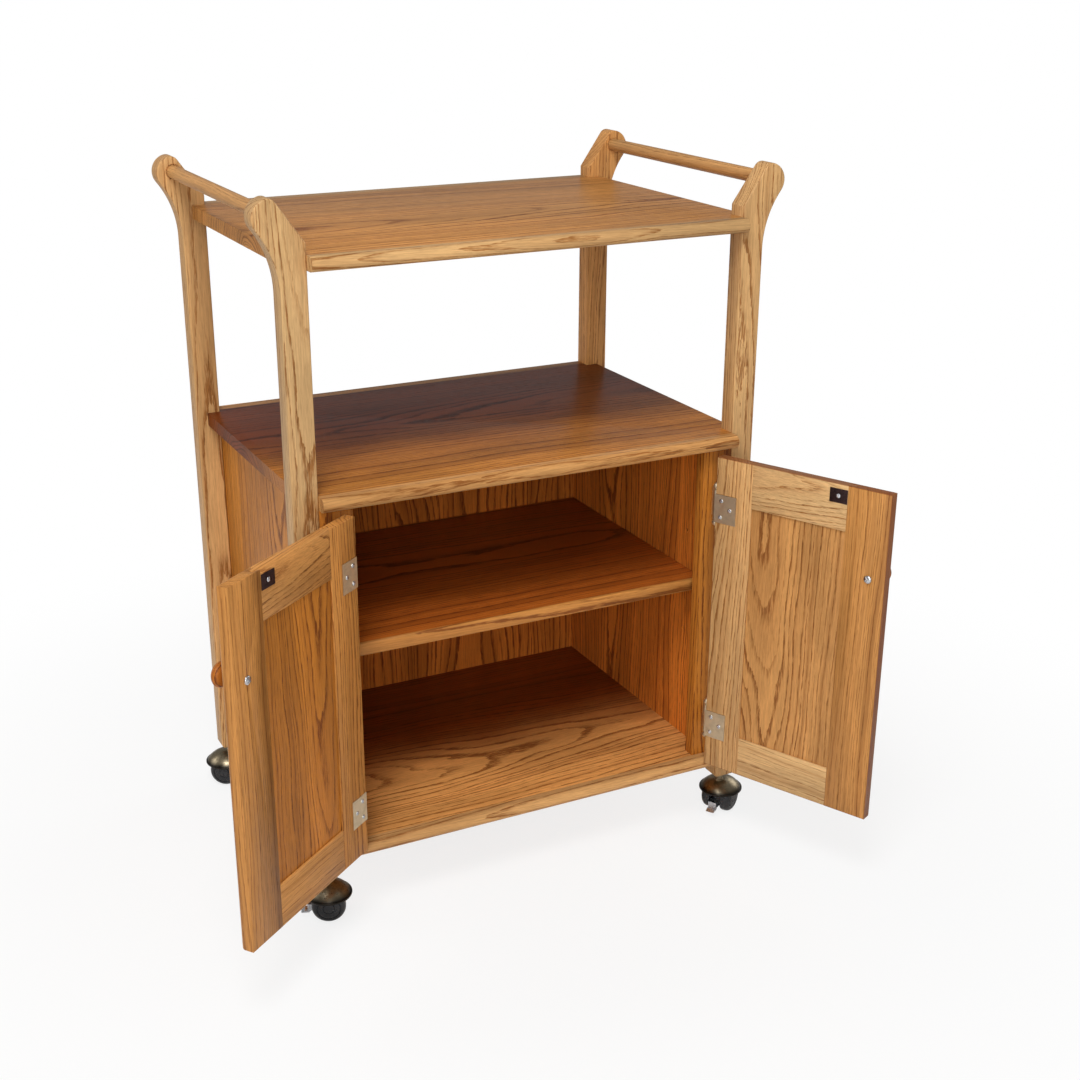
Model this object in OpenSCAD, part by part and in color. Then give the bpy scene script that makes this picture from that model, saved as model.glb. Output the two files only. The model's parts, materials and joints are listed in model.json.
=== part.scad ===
// Oak microwave cart: open bay under a top shelf, two-door cabinet under the deck,
// four scrolled posts with handle dowels, on hooded twin-wheel casters.
// All sizes in millimetres. X is the width (right is +), Y runs from the front (-) to
// the back (+), Z is up from the floor. The doors stand open, as the cart is shown.

/* [Case] */
// Clear width between the inner faces of the left and right posts
case_width = 622.3; // [480:0.1:800]
// Depth over the posts, from the front faces to the rear faces
case_depth = 463.5; // [380:0.1:600]
// Height of the cabinet space, from the bottom board up to the deck
cabinet_height = 489; // [380:0.5:640]
// Height of the open bay, from the deck up to the top shelf
bay_height = 285.7; // [220:0.1:420]
// Thickness of the top shelf, the deck and the bottom board
board_thick = 19.05; // [15:0.05:28]
// How far each rounded board nose stands in front of the posts
nose_reach = 19.05; // [10:0.05:32]
// How far each board end runs out between the front and rear posts
end_reach = 19.05; // [8:0.05:32]

/* [Posts] */
// Width of a post, seen from the front
post_width = 35; // [26:0.5:48]
// Depth of a post, seen from the side
post_depth = 30; // [24:0.5:48]
// Drop of the post's foot below the top of the bottom board
foot_drop = 50; // [30:0.5:80]
// Bevel round the foot's front-to-back edges
foot_bevel = 3; // [1:0.5:6]
// Radius of the scroll head
head_radius = 23.7; // [19:0.1:28]
// Centre of the scroll head, outward of the post's inner face
head_out = 42; // [38:0.5:50]
// Centre of the scroll head above the top shelf
head_rise = 46; // [40:0.5:60]
// Where the outward sweep starts, below the top of the top shelf
sweep_drop = 46; // [30:0.5:80]
// Height above the top shelf at which the inner edge turns outward
lean_start = 14.4; // [6:0.2:20]
// Slope of the leaning inner edge, up from the level
lean_angle = 55; // [52:0.5:60]
// Radius where the leaning edge meets the top of the head
crown_radius = 12; // [6:0.5:15]

/* [Handle dowels] */
// Diameter of a handle dowel
dowel_diameter = 19.05; // [12:0.05:25]
// Dowel axis, outward of the post's inner face
dowel_out = 42; // [38:0.5:50]
// Dowel axis above the top shelf
dowel_rise = 48; // [42:0.5:60]
// Depth of the socket in each scroll head
dowel_seat = 14; // [8:0.5:20]
// Clearance of a dowel in its socket, all round
dowel_fit = 0.05; // [0.03:0.01:0.1]

/* [Cabinet] */
// Thickness of the side panels
side_thick = 19.05; // [15:0.05:25]
// Thickness of the back panel, which sits in a rabbet of the side panels
back_thick = 6.35; // [4:0.05:12]
// Width of the back panel's rabbet
rabbet_width = 9.5; // [5:0.5:12]
// Width of the face-frame stiles
stile_width = 45; // [30:0.5:60]
// Thickness of the face-frame stiles
stile_thick = 19.05; // [15:0.05:25]

/* [Inner shelf] */
// Thickness of the loose inner shelf
shelf_thick = 19.05; // [12:0.05:25]
// Clearance at each end of the inner shelf
shelf_gap = 1.5; // [0.5:0.1:3]
// Setback of the shelf's front edge behind the face-frame stiles
shelf_setback = 11; // [4:0.5:60]
// Clearance behind the inner shelf
shelf_back_gap = 2; // [0.5:0.5:10]
// Height of the lowest peg holes above the bottom board
hole_first = 178.1; // [120:0.1:200]
// Spacing of the peg holes
hole_pitch = 79.4; // [50:0.1:90]
// Number of peg holes in a row
hole_count = 3; // [2:1:3]
// Number of peg holes left free below the shelf
free_hole_count = 1; // [0:1:1]
// Setback of the front and rear rows from the front and back of the cabinet
hole_inset = 78.5; // [50:0.5:120]
// Diameter of a shelf peg
peg_diameter = 6.35; // [5:0.05:8]
// Depth of a peg hole
hole_depth = 10; // [6:0.5:13]
// How far a peg stands out to carry the shelf
peg_reach = 11; // [8:0.5:15]
// Clearance of a peg in its hole, all round
peg_fit = 0.1; // [0.05:0.01:0.1]
// Drop of the shelf's underside above the pegs
peg_rest = 0.3; // [0.3:0.1:0.5]

/* [Doors] */
// Thickness of the door frames
door_thick = 19.05; // [16:0.05:24]
// How far each door laps over its face-frame stile
door_overlap = 4; // [3:0.5:12]
// Gap between the closed doors
door_gap = 5; // [2:0.5:10]
// Gap between the doors and the deck
door_top_gap = 2; // [1:0.5:5]
// Gap between the doors and the bottom board
door_bottom_gap = 1.5; // [1:0.5:5]
// Gap between a closed door and the face frame
door_clear = 0.6; // [0.4:0.1:2]
// Width of a door's hinge stile
door_stile = 58; // [45:0.5:75]
// Width of a door's lock stile
lock_stile = 63.5; // [45:0.5:75]
// Width of a door's bottom rail
door_rail = 60; // [45:0.5:80]
// Width of a door's top rail
top_rail = 65; // [45:0.5:80]
// Thickness of the flat door panels
panel_thick = 6.35; // [4:0.05:9]
// Depth of the panel groove
groove_depth = 10; // [6:0.5:14]
// Room left for the panel at the bottom of the groove
panel_room = 2; // [0.5:0.5:4]
// Clearance on each face of the panel in its groove
panel_fit = 0.1; // [0.05:0.05:0.3]
// How far a panel lies behind its door frame's inner face
panel_recess = 3; // [2:0.1:5]
// Radius round the front outer edges of the doors
door_round = 6; // [2:0.5:9]
// Radius along the front inner edges of the door frames
stick_round = 4; // [1:0.5:5]
// Opening angle of the left door, as shown
open_left = 143; // [0:1:180]
// Opening angle of the right door, as shown
open_right = 115; // [0:1:180]

/* [Knobs and catch plates] */
// Greatest diameter of a wooden knob
knob_diameter = 32; // [24:0.5:40]
// How far a knob stands off its door
knob_height = 27; // [20:0.5:36]
// Knob axis, in from the free edge of the door
knob_inset = 25; // [20:0.5:29]
// Knob axis, down from the top of the door
knob_drop = 124.5; // [80:0.5:240]
// Diameter of the knob screws
screw_diameter = 4; // [3:0.1:5]
// Diameter of a knob screw's domed head
screw_head = 11.5; // [8:0.5:14]
// Clearance of a knob screw in its door
screw_fit = 0.3; // [0.2:0.05:0.5]
// Width of a catch plate on a door
plate_width = 26.5; // [20:0.5:40]
// Height of a catch plate
plate_height = 20; // [14:0.5:26]
// Thickness of a catch plate
plate_thick = 1.2; // [0.8:0.1:2]
// Middle of a catch plate, in from the free edge of the door
plate_inset = 77; // [62:0.5:120]
// Middle of a catch plate, down from the top of the door
plate_drop = 16.5; // [14:0.5:26]

/* [Hinges] */
// Height of the hinge leaves
leaf_height = 42; // [34:0.5:56]
// Width of a door leaf across the door's inner face
leaf_width = 33; // [28:0.5:44]
// Width of a frame leaf across the face-frame stile
frame_leaf_width = 26; // [18:0.5:28]
// Thickness of the leaves
leaf_thick = 1.2; // [0.8:0.1:1.6]
// Radius of the knuckles
knuckle_radius = 4.5; // [3.5:0.1:5]
// Radius of the hinge pins
pin_radius = 2; // [1.5:0.1:2.5]
// Clearance of the pins in the knuckles, all round
pin_fit = 0.06; // [0.04:0.01:0.1]
// Gap between neighbouring knuckles
knuckle_gap = 0.4; // [0.3:0.1:0.8]
// Pin axis, outward of the door's edge
pin_out = 8.5; // [7:0.1:10]
// Pin axis, in front of the face frame
pin_front = 16; // [14:0.5:18]
// Middle of the upper hinge, down from the top of the door
hinge_top_inset = 76; // [60:0.5:120]
// Middle of the lower hinge, up from the bottom of the door
hinge_bottom_inset = 68; // [50:0.5:120]
// Radius of the ball at each end of a pin
ball_radius = 5.2; // [4:0.1:6]

/* [Casters] */
// Height of a caster, from the floor to the foot of its post
caster_height = 67; // [60:0.5:80]
// Radius of the wheels
wheel_radius = 24; // [20:0.5:26]
// Width of a wheel
wheel_width = 16; // [12:0.5:16.5]
// Radius of a wheel's outer shoulder
shoulder_radius = 9; // [5:0.5:10]
// Half the space between the two wheels of a caster
half_space = 8; // [6:0.5:10]
// Clearance on each side between a wheel and the middle bracket
wheel_clear = 1.5; // [0.5:0.1:2]
// Radius of the axle
axle_radius = 3; // [2.5:0.1:4]
// Clearance of the wheels on the axle, all round
axle_fit = 0.08; // [0.04:0.01:0.1]
// Distance of the wheel axle behind the swivel stem
trail = 8; // [6:0.5:12]
// Outer radius of the hood's rim
hood_radius = 33.5; // [33:0.5:38]
// Height of the hood's rim above the axle
hood_lift = 11; // [9:0.5:14]
// Rise of the hood's dome above its rim
hood_rise = 20; // [19:0.5:22]
// Thickness of the hood
hood_thick = 1.6; // [1:0.1:2.5]
// How far the toe guard reaches ahead of the swivel stem
guard_reach = 31; // [27:0.5:34]
// Radius of the swivel stem
stem_radius = 4; // [3.5:0.1:5]
// Length of the stem inside the post
stem_length = 38; // [25:0.5:45]
// Wall of the stem's socket
socket_wall = 1.5; // [1:0.1:2.5]
// Clearance of the stem in its socket, all round
stem_fit = 0.08; // [0.04:0.01:0.1]
// Radius of the socket's flange under the post
flange_radius = 11; // [8:0.5:13]
// Thickness of the socket's flange
flange_thick = 1.5; // [1:0.1:3]
// Direction in which the left front caster trails
turn_front_left = -20; // [-180:1:180]
// Direction in which the right front caster trails
turn_front_right = 33; // [-180:1:180]
// Direction in which the left rear caster trails
turn_rear_left = 150; // [-180:1:180]
// Direction in which the right rear caster trails
turn_rear_right = 20; // [-180:1:180]

/* [Hidden] */
$fn = 64;
half_w = case_width / 2;
front_y = -case_depth / 2;
back_y = case_depth / 2;
board_z = caster_height + foot_drop; // top of the bottom board
deck_under = board_z + cabinet_height;
deck_z = deck_under + board_thick; // top of the deck
top_under = deck_z + bay_height;
top_z = top_under + board_thick; // top of the top shelf
board_length = case_width + 2 * end_reach;

// Sweep of a post: an arc tangent to the straight outer edge and to the scroll head
sweep_run = head_out - post_width;
sweep_climb = head_rise + sweep_drop;
sweep_radius = (pow(sweep_run, 2) + pow(sweep_climb, 2) - pow(head_radius, 2))
    / (2 * (head_radius + sweep_run));
sweep_turn = asin(sweep_climb / (sweep_radius + head_radius));

// Crown arc, tangent to the leaning edge and inside the scroll head
lean_gap = (head_out * tan(lean_angle) - (head_rise - lean_start)) * cos(lean_angle);
crown_off = lean_gap - crown_radius;
crown_run = sqrt(pow(head_radius - crown_radius, 2) - pow(crown_off, 2));
crown_x = head_out - crown_off * sin(lean_angle) + crown_run * cos(lean_angle);
crown_z = head_rise + crown_off * cos(lean_angle) + crown_run * sin(lean_angle);
crown_end = atan2(crown_z - head_rise, crown_x - head_out);
crown_top = crown_z + crown_radius; // top of the posts above the top shelf

// Cabinet
side_inner = half_w - side_thick;
opening_half = half_w - stile_width;
cabinet_front = front_y + stile_thick;
cabinet_back = back_y - stile_thick;
back_face = cabinet_back - back_thick;
shelf_front = cabinet_front + shelf_setback;
shelf_back = back_face - shelf_back_gap;
peg_z = board_z + hole_first + free_hole_count * hole_pitch;
shelf_under = peg_z + peg_diameter / 2 + peg_rest;
hole_rows = [cabinet_front + hole_inset - stile_thick, cabinet_back - hole_inset + stile_thick];

// Doors, drawn shut in a frame with its origin on the hinge pin
door_edge = opening_half + door_overlap;
door_width = door_edge - door_gap / 2;
door_low = board_z + door_bottom_gap;
door_high = deck_under - door_top_gap;
door_height = door_high - door_low;
pin_x = door_edge + pin_out;
pin_y = front_y - pin_front;
door_inner = pin_front - door_clear; // inner face, behind the pin
door_outer = door_inner - door_thick; // outer face
door_free = pin_out + door_width; // free edge
groove_wide = panel_thick + 2 * panel_fit;
groove_mid = door_inner - panel_recess - panel_thick / 2;
knob_x = door_free - knob_inset;
knob_z = door_high - knob_drop;
plate_x = door_free - plate_inset;
plate_z = door_high - plate_drop;
hinge_heights = [door_low + hinge_bottom_inset, door_high - hinge_top_inset];
knuckle_tall = (leaf_height - 2 * knuckle_gap) / 3;

// Casters
stem_x = half_w + post_width / 2;
stem_y = case_depth / 2 - post_depth / 2;
socket_radius = stem_radius + stem_fit + socket_wall;
dome_radius = (pow(hood_radius, 2) + pow(hood_rise, 2)) / (2 * hood_rise);
dome_mid_z = wheel_radius + hood_lift + hood_rise - dome_radius;
dome_low = dome_radius - hood_rise; // the rim, above the middle of the dome
neck_radius = stem_radius + 3;
neck_low_z = dome_mid_z + dome_radius - 7;
neck_top_z = caster_height - flange_thick - 3;

// The origin lies on the floor, under the middle of the whole open cart
function swing_x(a, x, y) = x * cos(a) + y * sin(a);
function swing_y(a, x, y) = y * cos(a) - x * sin(a);
knob_r = knob_diameter / 2;
knob_deep = 0.34 * knob_height; // half the thickness of a knob's head
knob_mid = door_outer - knob_height + knob_deep;
function knob_side(a) = sqrt(pow(knob_r * cos(a), 2) + pow(knob_deep * sin(a), 2));
function reach(a) = pin_x - swing_x(a, knob_x, knob_mid) + knob_side(a);
function front_of(a) = pin_y + min(swing_y(a, door_free, door_inner),
    swing_y(a, door_free, door_outer),
    swing_y(a, knob_x, knob_mid) - knob_side(90 - a));
reach_left = reach(open_left);
reach_right = reach(open_right);
post_reach = half_w + head_out + head_radius;
low_left = front_of(open_left);
low_right = front_of(open_right);
rear_left = stem_y + trail * sin(turn_rear_left) + hood_radius;
rear_right = stem_y + trail * sin(turn_rear_right) + hood_radius;
x_low = -max(reach_left, post_reach);
x_high = max(reach_right, post_reach);
y_low = min(low_left, low_right, front_y - nose_reach);
y_high = max(rear_left, rear_right, back_y);
shift_x = (x_low + x_high) / 2;
shift_y = (y_low + y_high) / 2;

OAK = [0.78, 0.56, 0.32];
OAK_DARK = [0.66, 0.43, 0.22];
OAK_TOP = [0.62, 0.38, 0.20];
BRASS = [0.48, 0.42, 0.30];
BRONZE = [0.22, 0.17, 0.14];
STEEL = [0.72, 0.73, 0.76];
BLACK = [0.07, 0.07, 0.08];

// ---- helpers ----------------------------------------------------------------

// Points on an arc, from one angle to another
function arc(cx, cz, r, a, b, n) =
    [for (i = [0 : n]) [cx + r * cos(a + (b - a) * i / n), cz + r * sin(a + (b - a) * i / n)]];

module settle() {
    translate([-shift_x, -shift_y, 0]) children();
}

module both_sides() {
    children();
    mirror([1, 0, 0]) children();
}

module left_door_place() {
    settle() translate([-pin_x, pin_y, 0]) rotate([0, 0, -open_left]) children();
}

module right_door_place() {
    settle() translate([pin_x, pin_y, 0]) rotate([0, 0, open_right]) mirror([1, 0, 0]) children();
}

module caster_place(sx, sy, turn) {
    settle() translate([sx * stem_x, sy * stem_y, 0]) rotate([0, 0, turn]) children();
}

// A rod along X, Y or Z is a cylinder turned about its start
module rod_y(r, length) {
    rotate([-90, 0, 0]) cylinder(r = r, h = length);
}

module rod_x(r, length) {
    rotate([0, 90, 0]) cylinder(r = r, h = length);
}

// ---- posts ------------------------------------------------------------------

// Outline of a post: x is outward of its inner face, y is height above the floor
module post_outline() {
    foot = caster_height;
    head_z = top_z + head_rise;
    polygon(concat(
        [[foot_bevel, foot], [post_width - foot_bevel, foot], [post_width, foot + foot_bevel]],
        arc(post_width + sweep_radius, top_z - sweep_drop, sweep_radius, 180, 180 - sweep_turn, 14),
        arc(head_out, head_z, head_radius, 2 - sweep_turn, crown_end, 22),
        arc(crown_x, top_z + crown_z, crown_radius, crown_end + 6, 90 + lean_angle, 8),
        [[0, top_z + lean_start], [0, foot + foot_bevel]]));
}

// A post on the right, with its front face at y = 0 and running back
module post_blank() {
    translate([half_w, post_depth, 0]) rotate([90, 0, 0])
        linear_extrude(height = post_depth) post_outline();
}

module dowel_socket(from_y, length) {
    translate([half_w + dowel_out, from_y, top_z + dowel_rise])
        rod_y(dowel_diameter / 2 + dowel_fit, length);
}

module stem_socket(y) {
    translate([stem_x, y, caster_height - 1])
        cylinder(r = socket_radius, h = stem_length + 3);
}

module post_front() {
    difference() {
        translate([0, front_y, 0]) post_blank();
        dowel_socket(front_y + post_depth - dowel_seat, dowel_seat + 5);
        stem_socket(-stem_y);
    }
}

module post_rear() {
    mirror([0, 1, 0]) post_front();
}

module post_front_left() {
    color(OAK) settle() mirror([1, 0, 0]) post_front();
}

module post_front_right() {
    color(OAK) settle() post_front();
}

module post_rear_left() {
    color(OAK) settle() mirror([1, 0, 0]) post_rear();
}

module post_rear_right() {
    color(OAK) settle() post_rear();
}

// ---- boards -----------------------------------------------------------------

// A board seen from its end: a full-round nose in front, square at the back
module board_profile() {
    nose = board_thick / 2;
    translate([front_y - nose_reach + nose, nose]) circle(r = nose);
    translate([front_y - nose_reach + nose, 0]) square([case_depth + nose_reach - nose, board_thick]);
}

// Board between the posts, with ends that run out between front and rear posts
module board(z) {
    translate([-half_w, 0, z]) rotate([90, 0, 90]) linear_extrude(height = case_width) board_profile();
    translate([-board_length / 2, front_y + post_depth, z])
        cube([board_length, case_depth - 2 * post_depth, board_thick]);
}

module top_shelf() {
    color(OAK_TOP) settle() board(top_under);
}

module deck() {
    color(OAK_TOP) settle() board(deck_under);
}

module bottom_board() {
    color(OAK_TOP) settle() board(board_z - board_thick);
}

// ---- cabinet ----------------------------------------------------------------

module side_panel() {
    difference() {
        translate([side_inner, cabinet_front, board_z])
            cube([side_thick, cabinet_back - cabinet_front, cabinet_height]);
        translate([side_inner - 1, back_face, board_z - 1])
            cube([rabbet_width + 1, back_thick + 1, cabinet_height + 2]);
        for (row = hole_rows)
            for (i = [0 : hole_count - 1])
                translate([side_inner - 1, row, board_z + hole_first + i * hole_pitch])
                    rod_x(peg_diameter / 2 + peg_fit, hole_depth + 1);
    }
}

module side_panel_left() {
    color(OAK) settle() mirror([1, 0, 0]) side_panel();
}

module side_panel_right() {
    color(OAK) settle() side_panel();
}

module back_panel() {
    color(OAK_DARK) settle()
        translate([-side_inner - rabbet_width, back_face, board_z])
            cube([2 * (side_inner + rabbet_width), back_thick, cabinet_height]);
}

module face_stile() {
    translate([opening_half, front_y, board_z]) cube([stile_width, stile_thick, cabinet_height]);
}

module face_stile_left() {
    color(OAK) settle() mirror([1, 0, 0]) face_stile();
}

module face_stile_right() {
    color(OAK) settle() face_stile();
}

module inner_shelf() {
    run = side_inner - shelf_gap;
    color(OAK) settle() translate([-run, shelf_front, shelf_under])
        cube([2 * run, shelf_back - shelf_front, shelf_thick]);
}

module shelf_pegs() {
    color(STEEL) settle() both_sides()
        for (row = hole_rows)
            translate([side_inner - peg_reach, row, peg_z])
                rod_x(peg_diameter / 2, peg_reach + hole_depth - 0.5);
}

module handle_dowel() {
    length = case_depth - 2 * post_depth + 2 * dowel_seat - 1;
    translate([half_w + dowel_out, -length / 2, top_z + dowel_rise])
        rod_y(dowel_diameter / 2, length);
}

module handle_dowel_left() {
    color(OAK) settle() mirror([1, 0, 0]) handle_dowel();
}

module handle_dowel_right() {
    color(OAK) settle() handle_dowel();
}

// ---- doors, drawn shut, origin on the pin ------------------------------------

// Plan of a door: outer face towards -y, its front corners rounded
module door_plan() {
    r = door_round;
    difference() {
        translate([pin_out, door_outer]) square([door_width, door_thick]);
        translate([pin_out, door_outer]) difference() {
            translate([-1, -1]) square(r + 1);
            translate([r, r]) circle(r = r);
        }
        translate([door_free - r, door_outer]) difference() {
            translate([0, -1]) square(r + 1);
            translate([0, r]) circle(r = r);
        }
    }
}

// Side view of a door: x is depth, y is height
module door_side() {
    r = door_round;
    difference() {
        translate([door_outer, door_low]) square([door_thick, door_height]);
        translate([door_outer, door_low]) difference() {
            translate([-1, -1]) square(r + 1);
            translate([r, r]) circle(r = r);
        }
        translate([door_outer, door_high - r]) difference() {
            translate([-1, 0]) square(r + 1);
            translate([r, 0]) circle(r = r);
        }
    }
}

// The whole door's rounded outline as a solid
module door_block() {
    intersection() {
        linear_extrude(height = door_high + 50) door_plan();
        rotate([90, 0, 90]) linear_extrude(height = door_free + 50) door_side();
    }
}

// Cross-section of a frame member: x across it from its outer edge, y is depth
module member_section(wide) {
    r = stick_round;
    difference() {
        translate([0, door_outer]) square([wide, door_thick]);
        translate([wide - groove_depth, groove_mid - groove_wide / 2])
            square([groove_depth + 1, groove_wide]);
        translate([wide - r, door_outer]) difference() {
            translate([0, -1]) square(r + 1);
            translate([0, r]) circle(r = r);
        }
    }
}

// Stiles, full height, before they are trimmed to the rounded outline
module stile_bar(wide) {
    translate([0, 0, door_low]) linear_extrude(height = door_height) member_section(wide);
}

module hinge_stile_bar() {
    translate([pin_out, 0, 0]) stile_bar(door_stile);
}

module lock_stile_bar() {
    translate([door_free, 0, 0]) mirror([1, 0, 0]) stile_bar(lock_stile);
}

// Rails run into the stiles' grooves and are coped over their rounded edges
module rail_bar(wide) {
    tongue = groove_depth - panel_room;
    difference() {
        translate([door_free - lock_stile + tongue, 0, 0]) rotate([0, -90, 0])
            linear_extrude(height = door_width - door_stile - lock_stile + 2 * tongue)
                member_section(wide);
        translate([pin_out, 0, -10]) stile_cutter(door_stile);
        translate([door_free, 0, -10]) mirror([1, 0, 0]) stile_cutter(lock_stile);
    }
}

module stile_cutter(wide) {
    linear_extrude(height = door_rail + top_rail) member_section(wide);
}

// Shallow seats for the hinge leaves, on the inner face and the hinge edge
module leaf_seats() {
    for (z = hinge_heights)
        translate([pin_out - 1, door_inner - leaf_thick, z - leaf_height / 2 - 0.3])
            cube([leaf_width + 1.3, leaf_thick + 1, leaf_height + 0.6]);
}

module knob_bore() {
    translate([knob_x, door_outer - 1, knob_z]) rod_y(screw_diameter / 2 + screw_fit, door_thick + 2);
}

module door_hinge_stile() {
    difference() {
        intersection() {
            hinge_stile_bar();
            door_block();
        }
        leaf_seats();
    }
}

module door_lock_stile() {
    difference() {
        intersection() {
            lock_stile_bar();
            door_block();
        }
        knob_bore();
    }
}

module door_bottom_rail() {
    intersection() {
        translate([0, 0, door_low]) rail_bar(door_rail);
        door_block();
    }
}

module door_top_rail() {
    intersection() {
        translate([0, 0, door_high]) mirror([0, 0, 1]) rail_bar(top_rail);
        door_block();
    }
}

module door_panel() {
    tongue = groove_depth - panel_room;
    translate([pin_out + door_stile - tongue, groove_mid - panel_thick / 2,
        door_low + door_rail - tongue])
        cube([door_width - door_stile - lock_stile + 2 * tongue, panel_thick,
            door_height - door_rail - top_rail + 2 * tongue]);
}

// Turned knob: a foot, a waist and a domed head, with a pilot hole for its screw
module door_knob() {
    r = knob_r;
    h = knob_height;
    translate([knob_x, door_outer, knob_z]) rotate([90, 0, 0]) difference() {
        rotate_extrude() polygon(concat(
            [[0, 0], [0.62 * r, 0], [0.62 * r, 0.07 * h], [0.5 * r, 0.13 * h],
                [0.43 * r, 0.2 * h], [0.43 * r, 0.27 * h]],
            [for (a = [-60 : 12.5 : 77.5]) [r * cos(a), h - knob_deep + knob_deep * sin(a)]],
            [[0, h]]));
        translate([0, 0, -1]) cylinder(r = screw_diameter / 2 + 0.05, h = 0.55 * h + 1);
    }
}

// Screw from inside the door into the knob
module door_knob_screw() {
    r = screw_head / 2;
    translate([knob_x, door_inner, knob_z]) rotate([-90, 0, 0]) rotate_extrude()
        polygon(concat([[0, 0], [r, 0]], [for (a = [0 : 10 : 80]) [r * cos(a), 0.8 + 2.6 * sin(a)]],
            [[0, 3.4]]));
    translate([knob_x, door_inner - door_thick - 0.45 * knob_height, knob_z])
        rod_y(screw_diameter / 2, door_thick + 0.45 * knob_height + 1);
}

module door_catch_plate() {
    translate([plate_x - plate_width / 2, door_inner, plate_z - plate_height / 2])
        cube([plate_width, plate_thick, plate_height]);
}

// Door leaf: flat on the inner face, wrapped round the edge, one middle knuckle
module door_leaf() {
    difference() {
        union() {
            translate([pin_out - leaf_thick, door_inner - leaf_thick, -leaf_height / 2])
                cube([leaf_width + leaf_thick, leaf_thick, leaf_height]);
            translate([pin_out - leaf_thick, 0, -leaf_height / 2])
                cube([leaf_thick, door_inner, leaf_height]);
            translate([0, 0, -knuckle_tall / 2]) cylinder(r = knuckle_radius, h = knuckle_tall);
            translate([0, knuckle_radius - leaf_thick, -knuckle_tall / 2])
                cube([pin_out - leaf_thick / 2, leaf_thick, knuckle_tall]);
        }
        translate([0, 0, -leaf_height]) cylinder(r = pin_radius + pin_fit, h = 2 * leaf_height);
    }
}

module door_hinge_leaves() {
    for (z = hinge_heights)
        translate([0, 0, z]) door_leaf();
}

// Frame leaf: flat on the face-frame stile, outward of the pin, two outer knuckles
module frame_leaf() {
    difference() {
        union() {
            translate([-knuckle_radius - frame_leaf_width, pin_front - leaf_thick, -leaf_height / 2])
                cube([frame_leaf_width + leaf_thick, leaf_thick, leaf_height]);
            translate([-knuckle_radius, 0, -leaf_height / 2])
                cube([leaf_thick, pin_front, leaf_height]);
            for (s = [-1, 1])
                translate([0, 0, s * (knuckle_tall + knuckle_gap) - knuckle_tall / 2])
                    cylinder(r = knuckle_radius, h = knuckle_tall);
        }
        translate([0, 0, -leaf_height]) cylinder(r = pin_radius + pin_fit, h = 2 * leaf_height);
        translate([0, 0, -knuckle_tall / 2 - knuckle_gap])
            cylinder(r = knuckle_radius + 0.5, h = knuckle_tall + 2 * knuckle_gap);
    }
}

// Pin with a ball at each end
module hinge_pin() {
    k = knuckle_radius;
    b = ball_radius;
    translate([0, 0, -leaf_height / 2]) cylinder(r = pin_radius, h = leaf_height);
    for (s = [0, 1])
        mirror([0, 0, s]) translate([0, 0, leaf_height / 2])
            rotate_extrude() polygon(concat([[0, 0], [k, 0], [k, 1.2]],
                arc(0, 2 + 0.86 * b, b, -59, 76, 9), [[0, 2 + 2.1 * b]]));
}

module frame_hinge_leaves() {
    color(BRASS) settle() both_sides()
        for (z = hinge_heights)
            translate([-pin_x, pin_y, z]) frame_leaf();
}

module hinge_pins() {
    color(BRASS) settle() both_sides()
        for (z = hinge_heights)
            translate([-pin_x, pin_y, z]) hinge_pin();
}

module left_door_hinge_stile() {
    color(OAK) left_door_place() door_hinge_stile();
}

module left_door_lock_stile() {
    color(OAK) left_door_place() door_lock_stile();
}

module left_door_top_rail() {
    color(OAK) left_door_place() door_top_rail();
}

module left_door_bottom_rail() {
    color(OAK) left_door_place() door_bottom_rail();
}

module left_door_panel() {
    color(OAK) left_door_place() door_panel();
}

module left_door_knob() {
    color(OAK_DARK) left_door_place() door_knob();
}

module left_door_knob_screw() {
    color(BRASS) left_door_place() door_knob_screw();
}

module left_door_catch_plate() {
    color(BRONZE) left_door_place() door_catch_plate();
}

module left_door_hinge_leaves() {
    color(BRASS) left_door_place() door_hinge_leaves();
}

module right_door_hinge_stile() {
    color(OAK) right_door_place() door_hinge_stile();
}

module right_door_lock_stile() {
    color(OAK) right_door_place() door_lock_stile();
}

module right_door_top_rail() {
    color(OAK) right_door_place() door_top_rail();
}

module right_door_bottom_rail() {
    color(OAK) right_door_place() door_bottom_rail();
}

module right_door_panel() {
    color(OAK) right_door_place() door_panel();
}

module right_door_knob() {
    color(OAK_DARK) right_door_place() door_knob();
}

module right_door_knob_screw() {
    color(BRASS) right_door_place() door_knob_screw();
}

module right_door_catch_plate() {
    color(BRONZE) right_door_place() door_catch_plate();
}

module right_door_hinge_leaves() {
    color(BRASS) right_door_place() door_hinge_leaves();
}

// ---- casters ----------------------------------------------------------------

// The sockets of all four casters, driven into the feet of the posts
module caster_sockets() {
    color(BRASS) settle() for (sx = [-1, 1])
        for (sy = [-1, 1])
            translate([sx * stem_x, sy * stem_y, 0]) difference() {
                union() {
                    translate([0, 0, caster_height - flange_thick])
                        cylinder(r = flange_radius, h = flange_thick);
                    translate([0, 0, caster_height - flange_thick])
                        cylinder(r = socket_radius - 0.05, h = flange_thick + stem_length + 1);
                }
                translate([0, 0, caster_height - flange_thick - 1])
                    cylinder(r = stem_radius + stem_fit, h = stem_length + flange_thick + 1);
            }
}

// Stem with a collar that runs under the socket's flange
module caster_stem() {
    translate([0, 0, neck_low_z])
        cylinder(r = stem_radius, h = caster_height + stem_length - 1 - neck_low_z);
    translate([0, 0, neck_top_z + 0.3])
        cylinder(r = neck_radius, h = caster_height - flange_thick - 0.6 - neck_top_z);
}

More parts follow.
